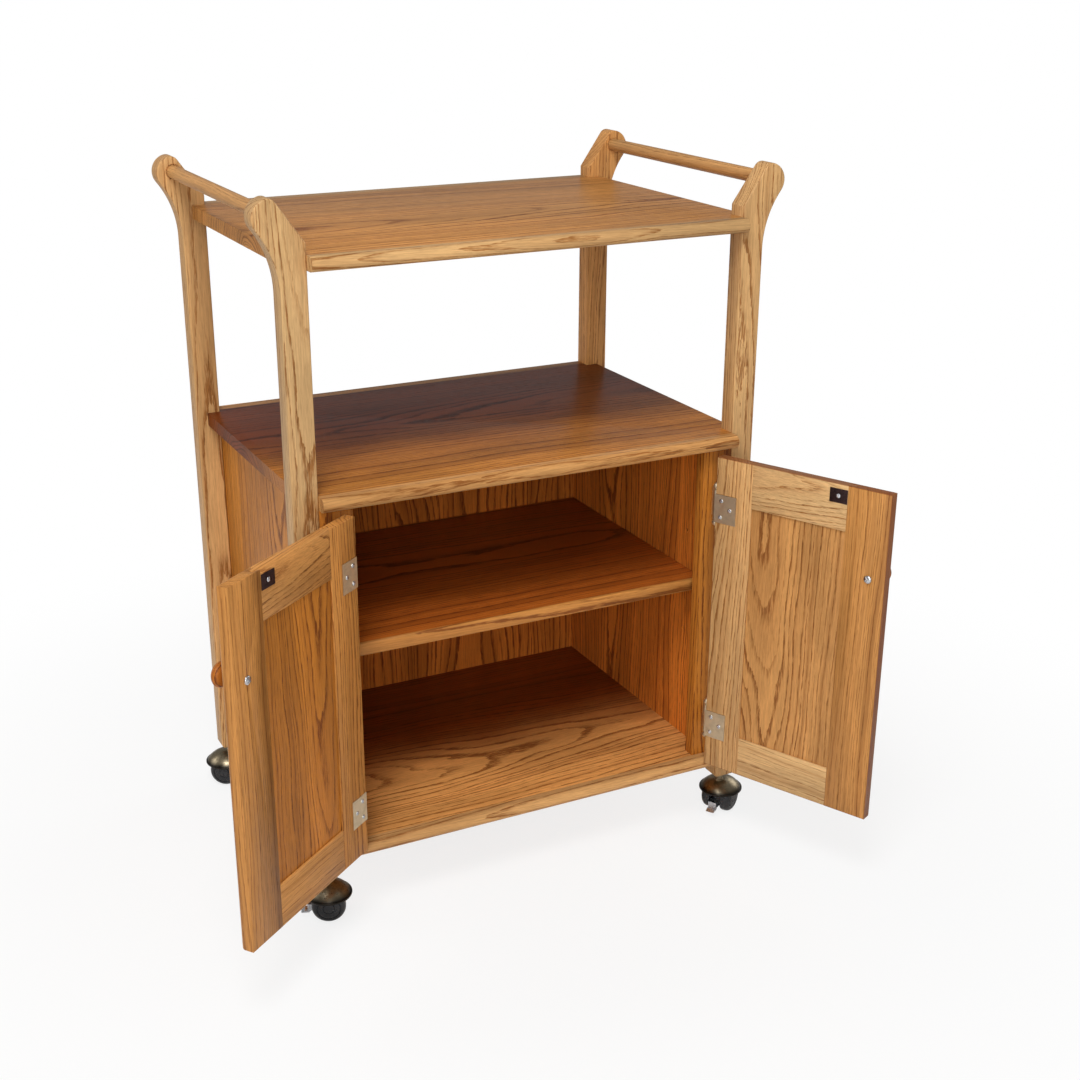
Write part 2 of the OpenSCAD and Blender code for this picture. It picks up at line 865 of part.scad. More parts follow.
// Domed shell over the wheels, with a neck round the stem
module caster_hood() {
    inside = dome_radius - hood_thick;
    difference() {
        union() {
            translate([trail, 0, dome_mid_z]) rotate_extrude() polygon(concat(
                arc(0, 0, dome_radius, asin(dome_low / dome_radius), 90, 12),
                arc(0, 0, inside, 90, asin(dome_low / inside), 12)));
            translate([0, 0, neck_low_z]) cylinder(r = neck_radius, h = neck_top_z - neck_low_z);
        }
        translate([0, 0, neck_low_z - 1]) cylinder(r = stem_radius + 0.05, h = 30);
    }
}

// Middle bracket between the wheels, hung under the hood, with the axle
module caster_bracket() {
    half = half_space - wheel_clear;
    foot = axle_radius + 5;
    room = dome_radius - hood_thick - 0.3;
    difference() {
        translate([trail, 0, dome_mid_z]) intersection() {
            translate([-foot, -half, wheel_radius - dome_mid_z])
                cube([2 * foot, 2 * half, dome_radius]);
            rotate_extrude() polygon(concat([[0, 0]], arc(0, 0, room, 0, 90, 18)));
        }
        translate([0, 0, neck_low_z - 0.3]) cylinder(r = neck_radius + 0.3, h = 20);
    }
    translate([0, half, 0]) rotate([90, 0, 0]) linear_extrude(height = 2 * half) bracket_foot(foot);
    translate([trail, half_space + wheel_width - 3, wheel_radius]) rotate([90, 0, 0])
        cylinder(r = axle_radius, h = 2 * (half_space + wheel_width - 3));
}

// Side view of the bracket's foot, with the toe guard ahead of the wheels
module bracket_foot(foot) {
    g = guard_reach;
    translate([trail, wheel_radius]) circle(r = foot);
    polygon([[trail, 22], [9 - g, 22], [9 - g, 12], [5 - g, 12], [-g, 9], [11 - g, 9],
        [14 - g, 12], [trail, 12]]);
}

// Section of one wheel: x is the radius, y is the distance from the inner face
module caster_wheel(side) {
    w = wheel_width;
    s = shoulder_radius;
    hub = axle_radius + axle_fit;
    rotate([0, 0, side]) translate([cos(side) * trail, 0, wheel_radius]) rotate([-90, 0, 0])
        translate([0, 0, half_space]) difference() {
            rotate_extrude() polygon(concat(
                [[0, 0], [wheel_radius - 1, 0], [wheel_radius, 1], [wheel_radius, w - s]],
                arc(wheel_radius - s, w - s, s, 0, 72, 8),
                [[0.32 * wheel_radius, w], [0, w]]));
            translate([0, 0, -1]) cylinder(r = hub, h = w - 1.5);
        }
}

module caster_fl_stem() {
    color(STEEL) caster_place(-1, -1, turn_front_left) caster_stem();
}

module caster_fl_hood() {
    color(BRASS) caster_place(-1, -1, turn_front_left) caster_hood();
}

module caster_fl_bracket() {
    color(STEEL) caster_place(-1, -1, turn_front_left) caster_bracket();
}

module caster_fl_wheel_a() {
    color(BLACK) caster_place(-1, -1, turn_front_left) caster_wheel(0);
}

module caster_fl_wheel_b() {
    color(BLACK) caster_place(-1, -1, turn_front_left) caster_wheel(180);
}

module caster_fr_stem() {
    color(STEEL) caster_place(1, -1, turn_front_right) caster_stem();
}

module caster_fr_hood() {
    color(BRASS) caster_place(1, -1, turn_front_right) caster_hood();
}

module caster_fr_bracket() {
    color(STEEL) caster_place(1, -1, turn_front_right) caster_bracket();
}

module caster_fr_wheel_a() {
    color(BLACK) caster_place(1, -1, turn_front_right) caster_wheel(0);
}

module caster_fr_wheel_b() {
    color(BLACK) caster_place(1, -1, turn_front_right) caster_wheel(180);
}

module caster_rl_stem() {
    color(STEEL) caster_place(-1, 1, turn_rear_left) caster_stem();
}

module caster_rl_hood() {
    color(BRASS) caster_place(-1, 1, turn_rear_left) caster_hood();
}

module caster_rl_bracket() {
    color(STEEL) caster_place(-1, 1, turn_rear_left) caster_bracket();
}

module caster_rl_wheel_a() {
    color(BLACK) caster_place(-1, 1, turn_rear_left) caster_wheel(0);
}

module caster_rl_wheel_b() {
    color(BLACK) caster_place(-1, 1, turn_rear_left) caster_wheel(180);
}

module caster_rr_stem() {
    color(STEEL) caster_place(1, 1, turn_rear_right) caster_stem();
}

module caster_rr_hood() {
    color(BRASS) caster_place(1, 1, turn_rear_right) caster_hood();
}

module caster_rr_bracket() {
    color(STEEL) caster_place(1, 1, turn_rear_right) caster_bracket();
}

module caster_rr_wheel_a() {
    color(BLACK) caster_place(1, 1, turn_rear_right) caster_wheel(0);
}

module caster_rr_wheel_b() {
    color(BLACK) caster_place(1, 1, turn_rear_right) caster_wheel(180);
}

// ---- what is drawn -----------------------------------------------------------

post_front_left();
post_front_right();
post_rear_left();
post_rear_right();
top_shelf();
deck();
bottom_board();
side_panel_left();
side_panel_right();
back_panel();
face_stile_left();
face_stile_right();
inner_shelf();
shelf_pegs();
handle_dowel_left();
handle_dowel_right();
frame_hinge_leaves();
hinge_pins();
caster_sockets();
left_door_hinge_stile();
left_door_lock_stile();
left_door_top_rail();
left_door_bottom_rail();
left_door_panel();
left_door_knob();
left_door_knob_screw();
left_door_catch_plate();
left_door_hinge_leaves();
right_door_hinge_stile();
right_door_lock_stile();
right_door_top_rail();
right_door_bottom_rail();
right_door_panel();
right_door_knob();
right_door_knob_screw();
right_door_catch_plate();
right_door_hinge_leaves();
caster_fl_stem();
caster_fl_hood();
caster_fl_bracket();
caster_fl_wheel_a();
caster_fl_wheel_b();
caster_fr_stem();
caster_fr_hood();
caster_fr_bracket();
caster_fr_wheel_a();
caster_fr_wheel_b();
caster_rl_stem();
caster_rl_hood();
caster_rl_bracket();
caster_rl_wheel_a();
caster_rl_wheel_b();
caster_rr_stem();
caster_rr_hood();
caster_rr_bracket();
caster_rr_wheel_a();
caster_rr_wheel_b();
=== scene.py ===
"""Finishes a rolling oak microwave cart: grained boards, brass hinges, hooded casters."""
import json
import math

import bmesh
import bpy
from mathutils import Euler, Matrix, Vector


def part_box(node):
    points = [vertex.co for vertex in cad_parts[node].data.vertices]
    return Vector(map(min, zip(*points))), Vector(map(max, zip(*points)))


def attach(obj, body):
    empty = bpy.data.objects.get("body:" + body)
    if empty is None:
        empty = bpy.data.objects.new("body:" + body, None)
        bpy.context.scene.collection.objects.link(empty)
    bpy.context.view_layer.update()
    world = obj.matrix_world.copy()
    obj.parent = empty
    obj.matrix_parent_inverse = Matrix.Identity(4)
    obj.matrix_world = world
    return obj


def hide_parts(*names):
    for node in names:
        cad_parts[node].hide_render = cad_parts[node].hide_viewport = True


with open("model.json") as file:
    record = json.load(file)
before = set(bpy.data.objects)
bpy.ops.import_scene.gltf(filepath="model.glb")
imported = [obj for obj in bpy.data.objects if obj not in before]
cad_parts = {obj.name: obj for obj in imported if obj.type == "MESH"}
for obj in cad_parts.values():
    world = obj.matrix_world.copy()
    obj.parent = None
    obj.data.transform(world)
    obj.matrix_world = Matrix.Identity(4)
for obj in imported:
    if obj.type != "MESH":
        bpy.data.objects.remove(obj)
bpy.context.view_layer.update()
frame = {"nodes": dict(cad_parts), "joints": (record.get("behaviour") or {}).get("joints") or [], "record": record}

bl_info = {
    "name": "Oak Microwave Cart",
    "version": (1, 0, 0),
    "blender": (4, 5, 0),
    "location": "View3D > Sidebar > Cart",
    "description": "Finishes the oak, the hinges and the casters of a rolling microwave cart",
    "category": "Object",
}

NODES = frame["nodes"]
BODY_OF = {n: b for b, ns in frame["record"]["behaviour"]["bodies"].items() for n in ns}
JOINTS = {j["name"]: j for j in frame["joints"]}
SIDES = ("left", "right")
CORNERS = ("fl", "fr", "rl", "rr")

# Metres. Hinge screws are (along the leaf, up from its middle, turn of the cross in radians).
PIN_TO_EDGE = 0.0085
PIN_TO_FRAME_LEAF = 0.0148
LEAF_HALF = 0.021
DOOR_SCREWS = ((0.009, 0.012, 21.0), (0.023, 0.0005, 23.5), (0.008, -0.0125, -4.5))
FRAME_SCREWS = ((0.020, 0.012, 12.0), (0.020, -0.012, -12.0))
SCREW_RISE = 0.0013
KNOB_SCREW_RADIUS = 0.00575
KNOB_SCREW_RISE = 0.0034
KNOB_SHANK_RADIUS = 0.002
SHANK_INTO_HEAD = 0.001
PLATE_ROUND = 0.0004
NOSING_WIDTH = 0.019
SHELF_NOSING_WIDTH = 0.004
WHEEL_WIDTH = 0.016
WHEEL_SHOULDER = 0.009
WHEEL_OFFSET = 0.008
TREAD_GAP = 0.00002
HOOD_RISE = 0.020
HOOD_WALL = 0.0016
# Up to the first height the hood is black, and from the second it is brass.
HOOD_BLACK_RIM = (0.0395, 0.0475, (0.030, 0.026, 0.022))
CAMERA_SHIFT = (0.0163, 0.0200)


# Sizes and finishes that a user may change ------------------------------------------------

def colour_property(name, description, default):
    return bpy.props.FloatVectorProperty(
        name=name, description=description, subtype="COLOR", size=3, min=0, max=1, default=default)


def length_property(name, description, default):
    return bpy.props.FloatProperty(
        name=name, description=description, default=default, min=0.0, max=0.1,
        subtype="DISTANCE", unit="LENGTH", precision=4)


def power_property(name, description, default):
    return bpy.props.FloatProperty(
        name=name, description=description, default=default, min=0.0, subtype="POWER")


class OakFinish(bpy.types.PropertyGroup):
    """Stains and scale of the oak."""
    gold: colour_property("Gold", "Wood of the posts and the palest rails", (0.64, 0.400, 0.180))
    gold_ring: colour_property("Gold ring", "Growth rings in gold wood", (0.34, 0.145, 0.042))
    amber: colour_property("Amber", "Wood of the panels and stiles", (0.51, 0.192, 0.027))
    amber_ring: colour_property("Amber ring", "Growth rings in amber wood", (0.19, 0.050, 0.007))
    # Russet is the wood deep inside the cart and also the painted shade at the backs of the boards and on the
    # right door's outline.
    russet: colour_property("Russet", "Wood deep inside the cart", (0.44, 0.088, 0.012))
    russet_ring: colour_property("Russet ring", "Growth rings in russet wood", (0.12, 0.017, 0.003))
    pore: colour_property("Pore", "Stain caught in the pores", (0.095, 0.028, 0.006))
    ring: length_property("Ring spacing", "Distance from one growth ring to the next", 0.0044)
    post_round: length_property("Post arris", "Radius round the long edges of the posts", 0.0045)
    board_round: length_property("Board arris", "Radius round the edges of boards", 0.0018)
    joint_round: length_property("Joint arris", "Radius along the joints of the frames", 0.0007)


class HardwareFinish(bpy.types.PropertyGroup):
    """Colours of the metal and plastic parts."""
    leaf: colour_property("Hinge leaf", "Pale worn brass of the hinges", (0.70, 0.61, 0.44))
    brass: colour_property("Antique brass", "Hoods of the casters", (0.30, 0.245, 0.16))
    bronze: colour_property("Dark bronze", "Striker plates", (0.060, 0.036, 0.036))
    zinc: colour_property("Zinc plate", "Caster brackets and screws", (0.62, 0.63, 0.66))
    black: colour_property("Wheel black", "Moulded wheels and rims", (0.012, 0.012, 0.014))
    screw_radius: length_property("Screw head", "Radius of the hinge screws' heads", 0.0031)


class StageSettings(bpy.types.PropertyGroup):
    """Floor, lamps and camera."""
    floor: colour_property("Floor", "Colour of the floor", (0.88, 0.88, 0.87))
    key_power: power_property("Key", "Power of the high key lamp", 58.0)
    front_power: power_property("Front", "Power of the front lamp", 44.0)
    side_power: power_property("Side", "Power of the two lamps beside the cart", 20.0)
    world: bpy.props.FloatProperty(
        name="World", description="Strength of the even light", default=0.30, min=0.0, max=1.0,
        subtype="FACTOR")
    camera_at: bpy.props.FloatVectorProperty(
        name="Camera", description="Place of the camera", subtype="TRANSLATION",
        unit="LENGTH", default=(-0.8816, -1.9219, 1.282))
    camera_yaw: bpy.props.FloatProperty(
        name="Yaw", description="Turn of the camera to the right", default=math.radians(-26.47),
        subtype="ANGLE", unit="ROTATION")
    camera_pitch: bpy.props.FloatProperty(
        name="Pitch", description="Tilt of the camera, down from the level",
        default=math.radians(21.42), subtype="ANGLE", unit="ROTATION")
    lens: bpy.props.FloatProperty(
        name="Lens", description="Focal length of the camera", default=52.96, min=1.0,
        unit="CAMERA")


# Node tools -------------------------------------------------------------------------------

class Tree:
    """A short way to write a node tree."""

    def __init__(self, tree):
        self.tree = tree

    def node(self, kind, inputs=None, **settings):
        made = self.tree.nodes.new(kind)
        for name, value in settings.items():
            setattr(made, name, value)
        for name, value in (inputs or {}).items():
            self.put(made.inputs[name], value)
        return made

    def put(self, socket, value):
        if isinstance(value, bpy.types.NodeSocket):
            self.tree.links.new(value, socket)
        else:
            socket.default_value = value

    def math(self, operation, *values, clamp=False):
        made = self.node("ShaderNodeMath", operation=operation, use_clamp=clamp)
        for socket, value in zip(made.inputs, values):
            self.put(socket, value)
        return made.outputs[0]

    def vector(self, operation, *values):
        made = self.node("ShaderNodeVectorMath", operation=operation)
        for socket, value in zip(made.inputs, values):
            self.put(socket, value)
        return made.outputs["Value" if operation == "LENGTH" else "Vector"]

    def noise(self, vector, scale, detail=2.0, roughness=0.5, kind="Fac"):
        stretched = self.vector("MULTIPLY", vector, scale)
        made = self.node("ShaderNodeTexNoise", {"Vector": stretched, "Scale": 1.0,
                                                "Detail": detail, "Roughness": roughness})
        return made.outputs[kind]

    def noise_along(self, value, scale, detail=1.0):
        return self.node("ShaderNodeTexNoise", {"W": value, "Scale": scale, "Detail": detail},
                         noise_dimensions="1D").outputs[0]

    def smooth(self, value, low, high, out_low=0.0, out_high=1.0):
        made = self.node("ShaderNodeMapRange", {
            "Value": value, "From Min": low, "From Max": high,
            "To Min": out_low, "To Max": out_high}, interpolation_type="SMOOTHSTEP")
        return made.outputs["Result"]

    def mix(self, factor, a, b):
        made = self.node("ShaderNodeMix", data_type="RGBA")
        self.put(made.inputs["Factor"], factor)
        for socket, value in zip([s for s in made.inputs if s.type == "RGBA"], (a, b)):
            self.put(socket, value)
        return next(s for s in made.outputs if s.type == "RGBA")

    def camera_ray(self):
        return self.node("ShaderNodeLightPath").outputs["Is Camera Ray"]

    def scaled(self, colour, level):
        made = self.node("ShaderNodeVectorMath", operation="SCALE")
        self.put(made.inputs["Vector"], colour)
        self.put(made.inputs["Scale"], level)
        return made.outputs["Vector"]

    def within(self, matrix):
        """The place in the coordinates of a turned and shifted frame."""
        return self.node("ShaderNodeMapping", {
            "Vector": self.place(), "Location": matrix.translation,
            "Rotation": matrix.to_euler()}, vector_type="TEXTURE").outputs[0]

    def place(self):
        return self.node("ShaderNodeTexCoord").outputs["Object"]

    def along(self, axis):
        return self.node("ShaderNodeSeparateXYZ", {"Vector": self.place()}).outputs[axis]


def rgba(colour, shade=1.0):
    return (*[min(1.0, c * shade) for c in colour], 1.0)


def new_material(name):
    material = bpy.data.materials.new(name)
    material.use_nodes = True
    material.node_tree.nodes.clear()
    return material, Tree(material.node_tree)


def close_tree(tree, shader, kind="ShaderNodeOutputMaterial"):
    output = tree.node(kind)
    tree.tree.links.new(shader.outputs[0], output.inputs["Surface"])


def close_material(tree, settings, height, strength, distance):
    """Adds the Principled shader with its bump and the output."""
    bump = tree.node("ShaderNodeBump", {
        "Height": height, "Strength": strength, "Distance": distance})
    close_tree(tree, tree.node("ShaderNodeBsdfPrincipled", {
        **settings, "Normal": bump.outputs[0]}))


# Oak --------------------------------------------------------------------------------------

GRAIN_UP_FACE_FRONT = Matrix(((0, 1, 0), (0, 0, 1), (1, 0, 0)))
GRAIN_UP_FACE_SIDE = Matrix(((0, 0, -1), (0, 1, 0), (1, 0, 0)))
GRAIN_ACROSS_FACE_UP = Matrix.Identity(3)
GRAIN_ACROSS_FACE_FRONT = Matrix(((1, 0, 0), (0, 0, -1), (0, 1, 0)))
GRAIN_DEEP_FACE_UP = Matrix(((0, -1, 0), (1, 0, 0), (0, 0, 1)))


def grain_group():
    """The grain of oak in board coordinates: x along the grain, the heart of the log on x."""
    group = bpy.data.node_groups.new("Oak Grain", "ShaderNodeTree")
    face = group.interface
    face.new_socket("Vector", in_out="INPUT", socket_type="NodeSocketVector")
    for name, value in (("Ring Spacing", 0.005), ("Sway", 0.03), ("Contrast", 1.0)):
        face.new_socket(name, in_out="INPUT", socket_type="NodeSocketFloat").default_value = value
    for name in ("Wood", "Ring", "Pore"):
        face.new_socket(name, in_out="INPUT", socket_type="NodeSocketColor")
    face.new_socket("Color", in_out="OUTPUT", socket_type="NodeSocketColor")
    face.new_socket("Height", in_out="OUTPUT", socket_type="NodeSocketFloat")
    tree = Tree(group)
    given = tree.node("NodeGroupInput").outputs
    place = given["Vector"]

    def wander(scale, size, detail=2.0):
        field = tree.noise(place, scale, detail, kind="Color")
        centred = tree.vector("SUBTRACT", field, (0.5, 0.5, 0.5))
        return tree.vector("MULTIPLY", centred, (0.0, size, size))

    slow = tree.scaled(wander((2.2, 8.0, 8.0), 1.0), given["Sway"])
    bent = tree.vector("ADD", place, slow)
    bent = tree.vector("ADD", bent, wander((14.0, 70.0, 70.0), 0.0030))
    bent = tree.vector("ADD", bent, wander((70.0, 420.0, 420.0), 0.0017, 3.0))
    radius = tree.vector("LENGTH", tree.vector("MULTIPLY", bent, (0.0, 1.0, 1.0)))
    count = tree.math("DIVIDE", radius, given["Ring Spacing"])
    count = tree.math("ADD", count, tree.math("MULTIPLY", tree.noise_along(count, 0.23), 3.4))
    phase = tree.math("FRACT", count)
    ring = tree.node("ShaderNodeTexWhiteNoise", {"W": tree.math("FLOOR", count)},
                     noise_dimensions="1D").outputs["Value"]
    early = tree.math("SUBTRACT", 1.0, tree.smooth(phase, 0.04, 0.42))
    early = tree.math("MULTIPLY", early, tree.smooth(phase, 0.0, 0.05))
    early = tree.math("MULTIPLY", early, tree.smooth(ring, 0.0, 1.0, 0.30, 1.0))
    flecks = tree.noise(place, (34.0, 640.0, 640.0), 3.0, 0.6)
    broken = tree.smooth(flecks, 0.36, 0.64, 0.15, 1.25)

    pores = tree.smooth(tree.noise(place, (60.0, 1300.0, 1300.0), 1.0), 0.53, 0.61)
    pores = tree.math("MULTIPLY", pores, tree.math("MULTIPLY_ADD", early, 0.70, 0.22))
    fibre = tree.noise(place, (14.0, 620.0, 620.0), 3.0, 0.6)
    cloud = tree.noise(place, (2.6, 17.0, 17.0), 3.0)
    band = tree.noise_along(count, 0.42, 2.0)

    strength = tree.math("MULTIPLY", tree.math("MULTIPLY", early, broken), given["Contrast"])
    strength = tree.math("ADD", strength, tree.smooth(band, 0.42, 0.72, 0.0, 0.38), clamp=True)
    colour = tree.mix(strength, given["Wood"], given["Ring"])
    colour = tree.mix(tree.math("MULTIPLY", pores, 0.60), colour, given["Pore"])
    level = tree.math("MULTIPLY", tree.smooth(fibre, 0.25, 0.75, 0.84, 1.15),
                      tree.smooth(cloud, 0.25, 0.75, 0.82, 1.18))
    output = tree.node("NodeGroupOutput")
    tree.put(output.inputs["Color"], tree.scaled(colour, level))
    tree.put(output.inputs["Height"], tree.math("SUBTRACT", 1.0, pores))
    return group


def stained(level, shade):
    """The wood and the ring colour of a stain, from gold (0) through amber (1) to russet (2)."""
    oaks = bpy.context.scene.cart_oak
    steps = ((oaks.gold, oaks.gold_ring), (oaks.amber, oaks.amber_ring),
             (oaks.russet, oaks.russet_ring))
    low = min(int(level), 1)
    return [rgba([a + (b - a) * (level - low) for a, b in zip(*pair)], shade)
            for pair in zip(steps[low], steps[low + 1])]


def oak(name, centre, turn, heart=(0.0, -0.06), tilt=0.0, stain=0.5, shade=1.0, ring=1.0,
        sway=0.030, contrast=1.7, roughness=0.36, gloss=0.16, fade=None, nosing=None, rim=None):
    """A board's own oak. heart is where the middle of the log lies, across and deep, from the
    board's middle; tilt is the slope of the grain. fade, as (axis, start, end, stain, shade),
    leads to another colour: painted shade towards the backs of the boards, painted light on the
    inside faces of the panels. nosing, as (half, width, stain, shade), is an edge glued on.
    rim, as (place, low, high), paints shade on the outline of the door that hangs at place."""
    finish = bpy.context.scene.cart_oak
    group = bpy.data.node_groups.get("Oak Grain") or grain_group()
    material, tree = new_material(name)
    board = (turn @ Euler((0.0, tilt, 0.0)).to_matrix()).to_4x4()
    place = tree.within(
        Matrix.Translation(centre) @ board @ Matrix.Translation((0.0, *heart)))

    def grain(wood, ring_colour, shift):
        made = tree.node("ShaderNodeGroup", node_tree=group)
        for key, value in {
                "Vector": tree.vector("ADD", place, shift),
                "Ring Spacing": finish.ring * ring, "Sway": sway, "Contrast": contrast,
                "Wood": wood, "Ring": ring_colour, "Pore": rgba(finish.pore)}.items():
            tree.put(made.inputs[key], value)
        return made.outputs

    wood, ring_colour = stained(stain, shade)
    # The colour fades along an axis to another: painted shade towards the backs of the boards, painted light on
    # the inside faces of the panels.
    if fade:
        axis, start, end, far_level, far_shade = fade
        wobble = tree.math("SUBTRACT", tree.noise(tree.place(), (5.0, 7.0, 5.0), 3.0), 0.5)
        where = tree.math("MULTIPLY_ADD", wobble, 0.5 * abs(end - start), tree.along(axis))
        mask = tree.smooth(where, start, end)
        far_wood, far_ring = stained(far_level, far_shade)
        wood = tree.mix(mask, wood, far_wood)
        ring_colour = tree.mix(mask, ring_colour, far_ring)
    body = grain(wood, ring_colour, (7.3 * (sum(map(ord, name)) % 17), 0.0, 0.0))
    colour, height = body["Color"], body["Height"]
    if nosing:
        half, width, edge_stain, edge_shade = nosing
        edge = grain(*stained(edge_stain, edge_shade), (3.1, 0.031, 0.012))
        away = tree.math("ABSOLUTE", tree.math("SUBTRACT", tree.along("Y"), centre.y))
        mask = tree.math("GREATER_THAN", away, half - width)
        colour = tree.mix(mask, colour, edge["Color"])
    # Painted shade: the outline of the door darkens towards russet, where its edges turn away from the lamps.
    if rim:
        hung, low, high = rim
        spot = tree.node("ShaderNodeSeparateXYZ", {"Vector": tree.within(hung)}).outputs
        gaps = [tree.math("MINIMUM", tree.math("SUBTRACT", spot[i], low[i]),
                          tree.math("SUBTRACT", high[i], spot[i])) for i in (0, 2)]
        nearest = tree.math("MINIMUM", *gaps)
        mask = tree.smooth(nearest, 0.0002, 0.0012, 0.25, 1.0)
        colour = tree.mix(mask, rgba(finish.russet, 0.4), colour)
    close_material(tree, {
        "Base Color": colour,
        "Roughness": tree.smooth(height, 0.0, 1.0, roughness + 0.22, roughness),
        "Specular IOR Level": gloss}, height, 0.35, 0.0004)
    return material


# Mesh tools -------------------------------------------------------------------------------

def deselect():
    """Leaves edit mode and deselects all."""
    if bpy.context.object and bpy.context.object.mode != "OBJECT":
        bpy.ops.object.mode_set(mode="OBJECT")
    bpy.ops.object.select_all(action="DESELECT")


def make_active(obj):
    deselect()
    obj.select_set(True)
    bpy.context.view_layer.objects.active = obj


def dress(node, material):
    """Gives a CAD node its own finish."""
    if not NODES[node].material_slots:
        NODES[node].data.materials.append(material)
    for slot in NODES[node].material_slots:
        slot.material = material


def finish_piece(obj, name, node, material):
    """Names a new piece that rides with a CAD node and takes that node's finish."""
    obj.name = name
    obj.data.materials.clear()
    obj.data.materials.append(material)
    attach(obj, BODY_OF[node])
    return obj


def smooth(obj, degrees=35):
    make_active(obj)
    bpy.ops.object.shade_smooth_by_angle(angle=math.radians(degrees))


def ease(node, radius, material, wanted=lambda edge: True, segments=2):
    """Replaces a CAD board by a copy whose sharp edges are rounded where wanted(edge)."""
    copy = bpy.data.objects.new(node, NODES[node].data.copy())
    bpy.context.scene.collection.objects.link(copy)
    make_active(copy)
    bpy.ops.object.mode_set(mode="EDIT")
    bpy.ops.mesh.select_mode(type="EDGE")
    bpy.ops.mesh.select_all(action="SELECT")
    bpy.ops.mesh.remove_doubles(threshold=1e-5)
    bpy.ops.mesh.dissolve_limited(angle_limit=math.radians(0.5))
    bpy.ops.mesh.select_all(action="DESELECT")
    mesh = bmesh.from_edit_mesh(copy.data)
    for edge in mesh.edges:
        sharp = len(edge.link_faces) == 2 and edge.calc_face_angle(0.0) > math.radians(35)
        edge.select_set(sharp and wanted(edge))
    bmesh.update_edit_mesh(copy.data)
    bpy.ops.mesh.bevel(offset=radius, offset_type="OFFSET", segments=segments, profile=0.5,
                       clamp_overlap=True, affect="EDGES")
    bpy.ops.object.mode_set(mode="OBJECT")
    smooth(copy, 40)
    finish_piece(copy, node + "_eased", node, material)
    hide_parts(node)


def turned(outline, steps=48):
    """A turned piece: its outline of (radius, height) is drawn point by point and spun on Z."""
    deselect()
    bpy.ops.mesh.primitive_plane_add(size=0.01)
    piece = bpy.context.object
    bpy.ops.object.mode_set(mode="EDIT")
    bpy.ops.mesh.select_mode(type="VERT")
    bpy.ops.mesh.select_all(action="SELECT")
    bpy.ops.mesh.merge(type="CENTER")
    bpy.ops.transform.translate(value=(outline[0][0], 0.0, outline[0][1]))
    for (r0, z0), (r1, z1) in zip(outline, outline[1:]):
        step = (r1 - r0, 0.0, z1 - z0)
        bpy.ops.mesh.extrude_region_move(TRANSFORM_OT_translate={"value": step})
    bpy.ops.mesh.select_all(action="SELECT")
    bpy.ops.mesh.spin(steps=steps, angle=2 * math.pi, center=(0, 0, 0), axis=(0, 0, 1))
    bpy.ops.mesh.select_all(action="SELECT")
    bpy.ops.mesh.remove_doubles(threshold=1e-6)
    bpy.ops.mesh.normals_make_consistent(inside=False)
    bpy.ops.object.mode_set(mode="OBJECT")
    smooth(piece)
    return piece


def settle(piece, matrix):
    """Moves a piece by matrix, with its object left at the origin."""
    make_active(piece)
    piece.matrix_world = matrix
    bpy.ops.object.transform_apply(location=True, rotation=True, scale=True)


def placed(template, matrix):
    """A copy of a modelled piece, with its own mesh, set where matrix puts it."""
    make_active(template)
    bpy.ops.object.duplicate()
    copy = bpy.context.object
    settle(copy, matrix)
    return copy


def joined(pieces):
    """Joins pieces into the first of them."""
    deselect()
    for piece in pieces:
        piece.select_set(True)
    bpy.context.view_layer.objects.active = pieces[0]
    bpy.ops.object.join()
    return pieces[0]


def discard(*templates):
    """Removes templates and cutters once they have served."""
    for template in templates:
        bpy.data.objects.remove(template)


def box_cutter(size, turn, centre):
    deselect()
    bpy.ops.mesh.primitive_cube_add(size=1.0, location=centre, rotation=(0.0, 0.0, turn))
    cutter = bpy.context.object
    cutter.scale = size
    bpy.ops.object.transform_apply(location=True, rotation=True, scale=True)
    return cutter


def cut(piece, cutter):
    """Cuts a cutter out of a piece."""
    make_active(piece)
    modifier = piece.modifiers.new("cut", "BOOLEAN")
    modifier.operation = "DIFFERENCE"
    modifier.object = cutter
    modifier.solver = "EXACT"
    bpy.ops.object.modifier_apply(modifier=modifier.name)
    discard(cutter)


def screw_head(radius, height):
    """A raised round head with a cross recess, standing on z = 0."""
    rise = [(radius * math.cos(a), height * (0.3 + 0.7 * math.sin(a)))
            for a in map(math.radians, range(0, 90, 12))]
    head = turned([(0.0, 0.0), (radius, 0.0), *rise, (0.0, height)], 28)
    for turn in (0.6, 0.6 + math.pi / 2):
        cut(head, box_cutter((1.25 * radius, 0.24 * radius, 1.1 * height), turn, (0, 0, height)))
    smooth(head)
    return head


def middle(node):
    low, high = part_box(node)
    return (low + high) / 2


def local_box(node, matrix):
    """The box of a CAD node in the coordinates of a swung part."""
    inverse = matrix.inverted()
    points = [inverse @ v.co for v in NODES[node].data.vertices]
    return (Vector([min(p[i] for p in points) for i in range(3)]),
            Vector([max(p[i] for p in points) for i in range(3)]))


# Materials of metal and plastic -----------------------------------------------------------

def worn_metal(name, colour, dark, roughness, scale=160.0, rim=None):
    """Plated metal that has darkened in patches; rim, as (low, high, colour), blackens its foot."""
    material, tree = new_material(name)
    place = tree.place()
    patch = tree.noise(place, (scale,) * 3, 4.0, 0.62)
    fine = tree.noise(place, (scale * 9,) * 3, 2.0)
    mask = tree.smooth(patch, 0.38, 0.72)
    shade = tree.mix(mask, rgba(colour), rgba(colour, dark))
    if rim:
        low, high, black = rim
        height = tree.math("MULTIPLY_ADD", patch, 0.004, tree.along("Z"))
        shade = tree.mix(tree.smooth(height, low, high), rgba(black), shade)
    rough = tree.math("ADD", tree.smooth(patch, 0.3, 0.7, roughness, roughness + 0.14),
                      tree.math("MULTIPLY", fine, 0.06))
    close_material(tree, {"Base Color": shade, "Metallic": 1.0, "Roughness": rough},
                   fine, 0.12, 0.0002)
    return material


